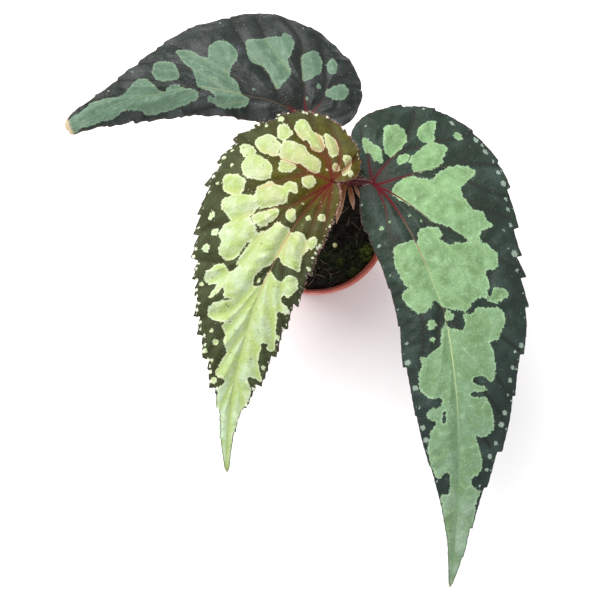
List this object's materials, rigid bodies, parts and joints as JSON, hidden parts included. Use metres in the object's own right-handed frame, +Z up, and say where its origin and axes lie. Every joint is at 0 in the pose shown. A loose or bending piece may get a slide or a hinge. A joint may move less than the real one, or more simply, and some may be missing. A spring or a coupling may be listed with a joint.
{
  "type": "potted begonia",
  "caption": "Potted foliage begonia: large lopsided pointed leaves with pale patches on a short red cane, in a small round plastic nursery pot.",
  "frame": {"origin": "on the pot's axis, at the flat pad under the pot that rests on the surface", "axes": "+Z up along the pot's axis; the two front leaves point along -Y and the back leaf along -X"},
  "size_m": [0.2493, 0.3123, 0.1588],
  "materials": {
    "terracotta_plastic": "thin moulded plastic, pinkish terracotta, satin",
    "potting_soil": "dark peaty potting soil with fibres and moss, damp and matte",
    "granule": "cream coated grain, satin",
    "red_stem": "dark red fleshy stem with fine hairs",
    "dark_green_leaf": "dark green leaf with mid-green patches, puckered, soft satin",
    "young_leaf": "young olive leaf with yellow-green patches, puckered, satin",
    "slate_green_leaf": "old slate-green leaf with sage patches, soft satin",
    "stipule_paper": "dry papery brownish pink sheath, translucent at its tip"
  },
  "bodies": {
    "root": {"pot": "terracotta_plastic", "soil": "potting_soil", "fertiliser_granule": "granule", "stem": "red_stem", "leaf_right": "dark_green_leaf", "leaf_centre": "young_leaf", "leaf_back": "slate_green_leaf", "stipule_left": "stipule_paper", "stipule_middle": "stipule_paper", "stipule_right": "stipule_paper"}
  },
  "joints": []
}
